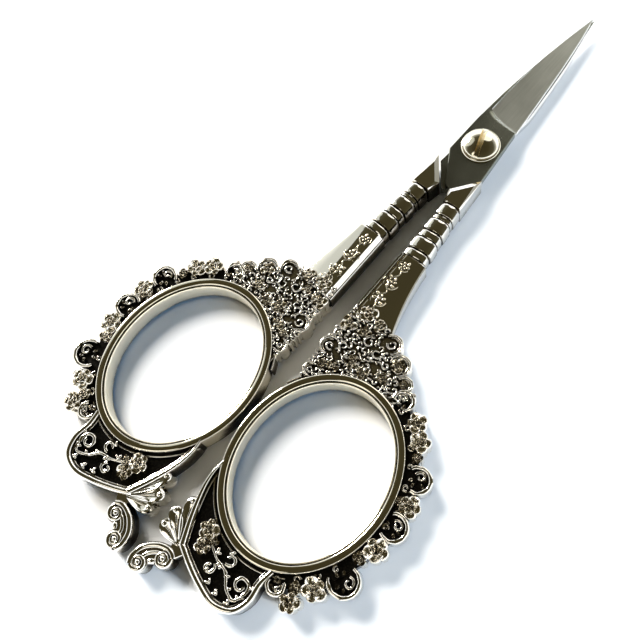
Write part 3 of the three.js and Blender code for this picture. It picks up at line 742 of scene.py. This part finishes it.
def shank_relief(form):
    """Sprays of leaves on a thin, forked stem, along the inner side of the shank's sunk face."""
    for place in SHANK_SPRAYS:
        spray(form, *place)
    rib(form, smooth(SHANK_STEM), 0.09, FACE - 0.07)
    end_x, end_y = SHANK_STEM[-1]
    for side in (-1, 1):
        fork = [(end_x, end_y), (end_x + STEM_FORK * side, end_y - STEM_FORK)]
        rib(form, smooth(fork, 4), 0.12, FACE - 0.02)


def knuckle_profile():
    """Pairs of length share and size share: barrels parted by rings."""
    steps = 12
    profile = []
    for start, end, full in KNUCKLE_RUN:
        for i in range(steps + 1):
            share = i / steps
            size = full * (1 - KNUCKLE_NECK * abs(2 * share - 1) ** KNUCKLE_SQUARE)
            profile.append((start + (end - start) * share, size))
    return [KNUCKLE_ENDS[0], *profile, KNUCKLE_ENDS[1]]


def knuckles(form):
    """Bamboo-like knuckles with flat facets."""
    rings = []
    heading = headings([KNUCKLE_FRONT, KNUCKLE_BACK])[0]
    length = math.dist(KNUCKLE_BACK, KNUCKLE_FRONT)
    half_width = narrowing(*KNUCKLE_HALF_WIDTHS)
    for share, size in knuckle_profile():
        middle = polar(KNUCKLE_FRONT, share * length, heading)
        width = size * half_width(share)
        rings.append([
            (*polar(middle, side * width, heading + math.pi / 2), rise * size * FACE)
            for side, rise in both_faces(KNUCKLE_SECTION)
        ])
    loft(form, rings)


def collar(form):
    """A slanted block with a wide bevel at its front and narrow ones at its sides."""
    slab(form, COLLAR, COLLAR_TOP, FACE, COLLAR_BEVEL)


# Blades

def curve_x(a, control, b, y):
    """x of a plan curve at a given y, by halving."""
    low, high = 0.0, 1.0
    for _ in range(40):
        t = (low + high) / 2
        if (bend(a, control, b, t)[1] < y) == (a[1] < b[1]):
            low = t
        else:
            high = t
    return bend(a, control, b, low)[0]


def side_x(y, corners, belly):
    """x of one side of the blade: straight runs between corners, then a curve to the tip."""
    for a, b in zip(corners, corners[1:]):
        if y < b[1]:
            return a[0] + (b[0] - a[0]) * (y - a[1]) / (b[1] - a[1])
    return curve_x(corners[-1], belly, BLADE_TIP, y)


def spine_x(y):
    return side_x(y, [SHOULDER_INNER, HEEL_END, SPINE_HEEL, SPINE_STRAIGHT], SPINE_BELLY)


def edge_x(y):
    return side_x(y, [SHOULDER_INNER, SHOULDER_OUTER, EDGE_STRAIGHT], EDGE_BELLY)


GROUND_WIDTH = edge_x(GRIND_START) - spine_x(GRIND_START) - SPINE_STRIP
GRIND_SLOPE = (BLADE_FACE - BLADE_INSIDE - EDGE_LAND) / GROUND_WIDTH


def clamped(value, low=0, high=1):
    return min(max(value, low), high)


def step_y(x):
    """Where the ground face starts, across the blade: a line that curls forward at the spine."""
    share = clamped((edge_x(GRIND_START) - x) / GROUND_WIDTH, 0, 1.1)
    return GRIND_START + GRIND_SLANT * share + (GRIND_CURL - GRIND_SLANT) * share ** 4


def strip_width(y):
    """Unground strip along the spine, which tapers out towards the tip."""
    return SPINE_STRIP * clamped(1 - (y - GRIND_START) / (SPINE_STRIP_END - GRIND_START))


def ground_height(x, y):
    """Height of the outside face: flat behind the step, hollow ground in front of it."""
    from_edge = edge_x(y) - x
    hollow = GRIND_HOLLOW * math.sin(math.pi * clamped(from_edge / GROUND_WIDTH))
    ground = min(BLADE_FACE, BLADE_INSIDE + EDGE_LAND + GRIND_SLOPE * from_edge - hollow)
    ramp = clamped((y - step_y(x)) / GRIND_RAMP)
    return BLADE_FACE + (ground - BLADE_FACE) * math.sin(math.pi / 2 * ramp)


def blade_stations():
    """Where the blade's sections lie along y: close together at the step, wider apart towards the tip."""
    corners = [SHOULDER_INNER[1] + 0.01, HEEL_END[1], SHOULDER_OUTER[1], SPINE_HEEL[1], SPINE_STRAIGHT[1]]
    ricasso = [-8.0, -4.6, -1.5, 0.0, 1.5]
    step = [5.0 + 0.1 * i for i in range(37)]
    face = [8.7 + 0.4 * i for i in range(64)]
    return sorted(corners + ricasso + step + face + [34.3, TIP_END])


def tuck(y, stations):
    """How far the spine lies inside the blade's plan at y, from pairs of y and distance."""
    for (a, near), (b, far) in zip(stations, stations[1:]):
        if a <= y <= b:
            return near + (far - near) * (y - a) / (b - a)
    return 0.0


def blade(tucked):
    """The blade's plate, ruled across between spine and edge, with small chamfers."""
    rings = []
    columns = 24
    for y in blade_stations():
        left, right = spine_x(y) + tuck(y, tucked), edge_x(y)
        chamfer = min(BLADE_CHAMFER, 0.2 * (right - left))
        hone = min(EDGE_HONE, 0.25 * (right - left)) if y > GRIND_START else chamfer
        strip = left + max(chamfer, min(strip_width(y), 0.5 * (right - left)))
        level = min(BLADE_FACE, ground_height(strip, y) + STRIP_STEP * strip_width(y) / SPINE_STRIP)
        xs = [strip + (right - hone - strip) * i / columns for i in range(columns + 1)]
        tops = [(x, y, ground_height(x, y)) for x in xs]
        edge = BLADE_INSIDE + EDGE_THICKNESS if y > GRIND_START else tops[-1][2] - chamfer
        bevel = min(SPINE_BEVEL, 0.2 * (right - left))
        spine = [
            (left + bevel, y, BLADE_INSIDE),
            (left, y, BLADE_INSIDE + bevel),
            (left, y, level - chamfer),
            (left + chamfer, y, level),
            (max(left + chamfer, strip - 0.05), y, level),
        ]
        rings.append(spine + tops + [(right, y, edge), (right, y, BLADE_INSIDE)])
    return lofted(rings)


def circle(radius, z, sides):
    return [(*polar((0, 0), radius, angle), z) for angle in around(sides)]


def blade_mesh(name, turn):
    """One blade with the hole for its screw."""
    mesh = placed_mesh(name, blade([] if turn > 0 else LOWER_TUCK), turn, BLADE_SHARP)
    hole = lofted([circle(SCREW_RADIUS + SCREW_CLEARANCE, z, 48) for z in (-1, 2 * HANDLE_HIGH)])
    return cut_away(mesh, hole, BLADE_SHARP)


# Pivot screw

def screw_profile():
    """Pairs of radius and height: peened end, shoulder, flange, rounded edge and dome."""
    edge_steps, dome_steps = 8, 14
    profile = [
        (SCREW_END_RADIUS - SCREW_END_CHAMFER, 0),
        (SCREW_END_RADIUS, SCREW_END_CHAMFER),
        (SCREW_END_RADIUS, SCREW_END_TOP),
        (SCREW_RADIUS, SCREW_END_TOP),
        (SCREW_RADIUS, SCREW_HEAD_UNDER),
    ]
    profile += [(SCREW_HEAD_RADIUS + inset, SCREW_HEAD_UNDER + rise) for inset, rise in SCREW_FLANGE]
    edge_middle = SCREW_HEAD_RADIUS + SCREW_FLANGE[-1][0] - SCREW_DOME_EDGE
    dome_start = edge_middle + SCREW_DOME_EDGE * math.sin(SCREW_EDGE_TILT)
    dome = dome_start / math.sin(SCREW_EDGE_TILT)
    edge_level = SCREW_TOP - dome + (dome - SCREW_DOME_EDGE) * math.cos(SCREW_EDGE_TILT)
    for i in range(edge_steps + 1):
        tilt = math.pi / 2 + (SCREW_EDGE_TILT - math.pi / 2) * i / edge_steps
        radius = edge_middle + SCREW_DOME_EDGE * math.sin(tilt)
        profile.append((radius, edge_level + SCREW_DOME_EDGE * math.cos(tilt)))
    for i in range(1, dome_steps):
        tilt = SCREW_EDGE_TILT * (1 - i / dome_steps)
        profile.append((dome * math.sin(tilt), SCREW_TOP - dome * (1 - math.cos(tilt))))
    return profile


def screw_slot():
    along = SCREW_SLOT_TURN - math.pi / 2
    corners = []
    for end, side in ((-1, -1), (1, -1), (1, 1), (-1, 1)):
        at = polar((0, 0), end * 2 * SCREW_HEAD_RADIUS, along)
        corners.append(polar(at, side * SCREW_SLOT_WIDTH / 2, along + math.pi / 2))
    return lofted([[(x, y, z) for x, y in corners] for z in (SCREW_TOP - SCREW_SLOT_DEPTH, SCREW_TOP + 1)])


def screw_mesh():
    form = lofted([circle(radius, z - MIDDLE, 64) for radius, z in screw_profile()])
    return cut_away(placed_mesh("pivot_screw_visual", form, 1), screw_slot(), ROUND_SHARP)


# Materials

def fill_ramp(ramp, stops):
    """Sets a colour ramp to pairs of position and colour."""
    elements = ramp.color_ramp.elements
    while len(elements) < len(stops):
        elements.new(0.5)
    for element, (position, colour) in zip(elements, stops):
        element.position = position
        element.color = (*colour, 1)


class Surface:
    """A new material, with the kinds of node that materials share."""

    def __init__(self, name, metallic=0.0):
        self.material = bpy.data.materials.new(name)
        self.material.use_nodes = True
        self.nodes = self.material.node_tree.nodes
        self.link = self.material.node_tree.links.new
        self.shader = self.nodes["Principled BSDF"].inputs
        self.shader["Metallic"].default_value = metallic

    def node(self, kind, sockets):
        """A new node; each of its named sockets takes a value or another node's output."""
        node = self.nodes.new(kind)
        for name, value in sockets.items():
            if isinstance(value, bpy.types.NodeSocket):
                self.link(value, node.inputs[name])
            else:
                node.inputs[name].default_value = value
        return node

    def noise(self, scale, stretch=(1, 1, 1), detail=4):
        """Noise in object space; scale is per metre."""
        place = self.node("ShaderNodeTexCoord", {}).outputs["Object"]
        mapping = self.node("ShaderNodeMapping", {"Vector": place, "Scale": stretch})
        grain = {"Vector": mapping.outputs["Vector"], "Scale": scale, "Detail": detail}
        return self.node("ShaderNodeTexNoise", grain).outputs["Fac"]

    def openness(self, reach):
        """From 0 in a crease to 1 where nothing lies within reach metres."""
        node = self.node("ShaderNodeAmbientOcclusion", {"Distance": reach})
        node.samples = 12
        return node.outputs["AO"]

    def levelness(self):
        """From 0 on an upright wall to 1 on a level face."""
        normal = self.node("ShaderNodeNewGeometry", {}).outputs["True Normal"]
        return self.math("ABSOLUTE", self.node("ShaderNodeSeparateXYZ", {"Vector": normal}).outputs["Z"])

    def math(self, operation, *values):
        node = self.node("ShaderNodeMath", dict(enumerate(values)))
        node.operation = operation
        return node.outputs["Value"]

    def ranged(self, value, low, high, from_low=0.0, from_high=1.0):
        limits = {"From Min": from_low, "From Max": from_high, "To Min": low, "To Max": high}
        return self.node("ShaderNodeMapRange", {"Value": value, **limits}).outputs["Result"]

    def colour(self, value, stops):
        ramp = self.node("ShaderNodeValToRGB", {"Fac": value})
        fill_ramp(ramp, stops)
        self.link(ramp.outputs["Color"], self.shader["Base Color"])

    def roughness(self, value):
        self.link(value, self.shader["Roughness"])

    def bump(self, value, strength, distance):
        node = self.node("ShaderNodeBump", {"Height": value, "Strength": strength, "Distance": distance})
        self.link(node.outputs["Normal"], self.shader["Normal"])


def antique_nickel_painted_shade(name, reach, bright, grain, rough=0.05, wall=0.0, plate_colour=(0.95, 0.92, 0.85)):
    """Polished plate that darkens where it is sheltered: black in the creases, partly oxide and partly
    painted shade, and brown on walls near the floor, the other half and other neighbours, which is painted
    shade.

    A neighbour, the floor included, shelters the metal within reach metres, and a higher bright keeps more
    of it clear of oxide and painted shade.
    Open plate is as rough as rough says, and upright walls at least as rough as wall.
    """
    metal = Surface(name, metallic=1.0)
    # painted shade, on top of the oxide in the creases: the colour darkens wherever the floor, the other
    # half or another part lies within reach
    shelter = metal.ranged(metal.openness(reach), bright - 0.1, bright + 0.9)
    oxide_and_painted_shade = metal.math("MULTIPLY_ADD", metal.noise(900), 0.2, shelter)
    metal.colour(oxide_and_painted_shade, [
        (0.35, (0.01, 0.008, 0.004)),
        (0.51, (0.08, 0.062, 0.035)),
        (0.63, (0.46, 0.41, 0.32)),
        (0.74, plate_colour),
    ])
    worn = metal.ranged(oxide_and_painted_shade, 0.4, rough, 0.3, 0.8)
    satin_wall = metal.ranged(metal.levelness(), wall, 0.0, 0.1, 0.4)
    metal.roughness(metal.math("MAXIMUM", worn, satin_wall))
    metal.bump(metal.noise(2600), grain, 0.0001)
    return metal.material


def painted_shade_ground(name):
    """Sunk ground of the casting, painted nearly black as the shade of its recesses, with a fine stipple.
    """
    metal = Surface(name, metallic=0.8)
    grain = metal.noise(3200, detail=2)
    metal.colour(grain, [(0.45, (0.006, 0.005, 0.004)), (0.75, (0.022, 0.019, 0.014))])
    metal.roughness(metal.ranged(grain, 0.42, 0.22))
    metal.bump(grain, 0.2, 0.0001)
    return metal.material


def steel(name, colour, rough_low, rough_high, line_scale, line_depth):
    """Steel with fine lines along the blade; satin or polished by its roughness."""
    metal = Surface(name, metallic=1.0)
    lines = metal.noise(line_scale, (1, 0.03, 1), 3)
    cloud = metal.noise(180)
    mottle = metal.math("MULTIPLY_ADD", cloud, 0.6, metal.ranged(lines, 0.0, 0.4))
    metal.colour(mottle, [(0.3, [0.7 * value for value in colour]), (0.7, colour)])
    metal.roughness(metal.ranged(cloud, rough_low, rough_high, 0.3, 0.7))
    metal.bump(lines, line_depth, 0.00005)
    return metal.material


def screw_plate_painted_shade(name, reach):
    """Polished plate on the screw's dome, painted dark brown and gold in the slot and other sheltered
    places as shade and reflection of the slot's walls.
    """
    metal = Surface(name, metallic=1.0)
    speckle = metal.noise(2400)
    # painted shade: the colour turns brown-gold and darker wherever the slot's walls or the blade shelter
    # the plate
    shelter = metal.ranged(metal.openness(reach), -0.2, 0.8)
    painted_slot_shade = metal.math("MULTIPLY_ADD", speckle, 0.4, shelter)
    metal.colour(painted_slot_shade, [(0.3, (0.3, 0.2, 0.07)), (0.55, (0.8, 0.62, 0.3)), (0.85, (0.85, 0.8, 0.66))])
    metal.roughness(metal.ranged(painted_slot_shade, 0.5, 0.09, 0.4, 0.85))
    metal.bump(speckle, 0.06, 0.00005)
    return metal.material


def pale_floor(name):
    floor = Surface(name)
    floor.shader["Roughness"].default_value = 0.6
    floor.colour(floor.noise(40), [(0.0, (0.86, 0.86, 0.87)), (1.0, (0.9, 0.9, 0.9))])
    return floor.material


# The longer reaches paint the most shade: SMOOTH, SCROLLED and RIM darken their walls near the floor and
# the other half
RELIEF = antique_nickel_painted_shade("nickel_relief", 0.0014, 0.08, 0.3, rough=0.06, plate_colour=(0.95, 0.91, 0.82))
BLOSSOM = antique_nickel_painted_shade("nickel_blossoms", 0.0012, 0.38, 0.3, rough=0.06, plate_colour=(0.96, 0.92, 0.83))
WORN = antique_nickel_painted_shade("nickel_worn_relief", 0.0012, -0.12, 0.4, rough=0.14, plate_colour=(0.9, 0.82, 0.62))
SCROLLED = antique_nickel_painted_shade("nickel_scrolls", 0.007, 0.05, 0.06)
SHELLED = antique_nickel_painted_shade("nickel_shells", 0.0025, 0.26, 0.08, rough=0.06)
HOLLOW = antique_nickel_painted_shade("nickel_hollows", 0.002, -0.04, 0.2, rough=0.12)
SMOOTH = antique_nickel_painted_shade("nickel_smooth", 0.006, 0.05, 0.03)
RIM = antique_nickel_painted_shade("nickel_rim", 0.003, 0.05, 0.03, wall=0.48, plate_colour=(0.94, 0.89, 0.75))
PAINTED_SHADE_GROUND = painted_shade_ground("nickel_ground")
SATIN = steel("satin_ground_steel", (0.49, 0.5, 0.45), 0.34, 0.44, 5200, 0.35)
# painted shade: the polished finish is real, but its dark colour stands in for the dark surroundings the
# flat steel mirrors
POLISHED_PAINTED_DARK = steel("polished_steel_painted_dark", (0.28, 0.29, 0.24), 0.22, 0.28, 3000, 0.02)
# painted reflection: this light steel stands in for the bright floor that the blade's walls and hones
# mirror
PAINTED_BRIGHT_EDGE = steel("edge_steel_painted_bright", (0.86, 0.87, 0.86), 0.18, 0.26, 3000, 0.02)
SCREW = screw_plate_painted_shade("polished_screw", reach=0.0009)


# Assembly of the pieces

HANDLE_PARTS = {
    "bow_rim": (bow_rim, RIM),
    "bow_fillet": (bow_fillet, SMOOTH),
    "border_ground": (border_ground, PAINTED_SHADE_GROUND),
    "border_flowers": (lambda form: flowers(form, BORDER_FLOWERS), BLOSSOM),
    "border_scallops": (border_scallops, RELIEF),
    "border_curls": (border_curls, RELIEF),
    "crown_ground": (crown_ground, HOLLOW),
    "crown_flowers": (lambda form: flowers(form, CROWN_FLOWERS), BLOSSOM),
    "crown_lobes": (crown_lobes, RELIEF),
    "crown_scrolls": (crown_scrolls, RELIEF),
    "crown_curls": (crown_curls, RELIEF),
    "cartouche_ground": (cartouche_ground, PAINTED_SHADE_GROUND),
    "cartouche_rim": (cartouche_rim, SCROLLED),
    "cartouche_flowers": (lambda form: flowers(form, CARTOUCHE_FLOWERS), BLOSSOM),
    "cartouche_scrolls": (cartouche_scrolls, RELIEF),
    "shell": (shell, SHELLED),
    "tail_scroll": (tail_scroll, SCROLLED),
    "tail_ground": (tail_ground, SCROLLED),
    "shank": (shank, SMOOTH, FACET_SHARP),
    "shank_relief": (shank_relief, WORN),
    "knuckles": (knuckles, SMOOTH, KNUCKLE_SHARP),
    "collar": (collar, SMOOTH, FACET_SHARP),
}
CRINKLED = (RELIEF, BLOSSOM)  # materials of the pieces with an uneven surface
noise.seed_set(CRINKLE_SEED)  # so that each run gives the same crinkles


def add_handle(side):
    half = HALVES[side]
    for part, (shape, material, *sharp) in HANDLE_PARTS.items():
        form = Form()
        shape(form)
        if material in CRINKLED:
            form.crinkle()
        name = f"{side}_{part}"
        mesh = placed_mesh(name, form, half["turn"], *sharp)
        add_piece(name, mesh, material, half["body"], half["handle"])


def add_blade(side):
    """A polished blade with a satin ground face, and its upright edges painted bright as a reflection of
    the floor.
    """
    half = HALVES[side]
    name = half["blade"] + "_visual"
    mesh = blade_mesh(name, half["turn"])
    add_piece(name, mesh, POLISHED_PAINTED_DARK, half["body"], half["blade"])
    mesh.materials.append(SATIN)
    mesh.materials.append(PAINTED_BRIGHT_EDGE)
    for face in mesh.polygons:
        x, y = face.center.x / MM * half["turn"], face.center.y / MM
        outside = half["turn"] * face.normal.z > 0.5
        past_strip = x - spine_x(min(y, TIP_END)) > strip_width(y)
        if outside and y > step_y(x) + 0.7 * GRIND_RAMP and past_strip:
            face.material_index = 1
        # upright walls and hones past the grind's start take the steel painted bright as a reflection
        elif abs(face.normal.z) < 0.8 and y > GRIND_START:
            face.material_index = 2


for side in HALVES:
    add_handle(side)
    add_blade(side)
add_piece("pivot_screw_visual", screw_mesh(), SCREW, "lower_half", "pivot_screw")


# Stage, light and camera, in metres

FLOOR_SIZE, FLOOR_DROP = 3, 0.0001  # half its side, and how far it lies below the part
LIT_POINT = (0, -0.03, 0)  # what the lights point at
SUNS = [  # name, place, spread in degrees, strength, colour, what it lights
    ("key", (-0.54, 0.12, 0.52), 27, 5.4, (1.0, 0.97, 0.92), "floor"),
    ("fill", (0.7, 0.08, 0.092), 8, 12.0, (0.9, 0.96, 1.0), "floor"),
    ("sky", (0.6, 0.1, 0.35), 30, 0.9, (0.15, 0.5, 1.0), "floor"),
    ("overhead", (0.0, -0.03, 0.7), 60, 0.2, (1.0, 0.95, 0.7), "floor"),
    ("glint", (-0.6, 0.06, 0.22), 21, 4.6, (1.0, 0.97, 0.92), "metal"),
]
CARDS = [  # name, place, size, power, colour, what it lights
    ("left_card", (-0.52, 0.04, 0.36), 0.42, 0.25, (0.96, 1.0, 0.96), "metal"),
    ("far_card", (-0.1, 0.5, 0.4), 0.4, 0.5, (1.0, 0.97, 0.9), "metal"),
    ("near_card", (-0.03, -0.42, 0.5), 0.3, 0.3, (1.0, 0.95, 0.84), "metal"),
]
SURROUND = [  # height of the direction, from level to straight up, and colour
    (0.37, (0.95, 0.97, 1.0)), (0.46, (0.3, 0.3, 0.27)), (0.6, (0.06, 0.055, 0.035)),
    (0.86, (0.036, 0.03, 0.014)), (1.0, (0.03, 0.025, 0.012)),
]
SURROUND_STRENGTH = 1.5
CAMERA_PLACE, CAMERA_TURN = (0.04445, -0.06808, 0.12474), (21.988, 8.219, 40.848)
CAMERA_LENS, CAMERA_CLIP = 45, 0.005


def add_floor():
    mesh = bpy.data.meshes.new("floor")
    corners = [(x * FLOOR_SIZE, y * FLOOR_SIZE, 0) for x, y in ((-1, -1), (1, -1), (1, 1), (-1, 1))]
    mesh.from_pydata(corners, [], [(0, 1, 2, 3)])
    mesh.materials.append(pale_floor("pale_floor"))
    floor = new_object("floor", mesh)
    floor.location.z = -FLOOR_DROP


def add_light(data, place, strength, colour, lights):
    """Points a light at the part; it either brightens the floor or shows in the metal."""
    data.energy = strength
    data.color = colour
    light = new_object(data.name, data)
    light.location = place
    away = [a - b for a, b in zip(place, LIT_POINT)]
    lean = math.atan2(math.hypot(away[0], away[1]), away[2])
    light.rotation_euler = (lean, 0, math.atan2(away[1], away[0]) + math.pi / 2)
    light.visible_glossy = lights == "metal"
    light.visible_diffuse = lights == "floor"


def add_lights():
    for name, place, spread, *rest in SUNS:
        sun = bpy.data.lights.new(name, "SUN")
        sun.angle = math.radians(spread)
        add_light(sun, place, *rest)
    for name, place, size, *rest in CARDS:
        card = bpy.data.lights.new(name, "AREA")
        card.shape = "DISK"
        card.size = size
        add_light(card, place, *rest)


def add_world():
    """Surroundings that the metal mirrors: bright near the horizon and dark olive overhead."""
    world = bpy.data.worlds.new("studio")
    bpy.context.scene.world = world
    world.use_nodes = True
    nodes, links = world.node_tree.nodes, world.node_tree.links
    place = nodes.new("ShaderNodeTexCoord")
    split = nodes.new("ShaderNodeSeparateXYZ")
    ramp = nodes.new("ShaderNodeValToRGB")
    fill_ramp(ramp, SURROUND)
    links.new(place.outputs["Generated"], split.inputs["Vector"])
    links.new(split.outputs["Z"], ramp.inputs["Fac"])
    links.new(ramp.outputs["Color"], nodes["Background"].inputs["Color"])
    nodes["Background"].inputs["Strength"].default_value = SURROUND_STRENGTH
    world.cycles_visibility.diffuse = False


def add_camera():
    data = bpy.data.cameras.new("camera")
    data.lens = CAMERA_LENS
    data.clip_start = CAMERA_CLIP
    camera = new_object("camera", data)
    camera.location = CAMERA_PLACE
    camera.rotation_euler = [math.radians(degrees) for degrees in CAMERA_TURN]
    bpy.context.scene.camera = camera


add_floor()
add_world()
add_lights()
add_camera()
bpy.context.scene.view_settings.view_transform = "Standard"
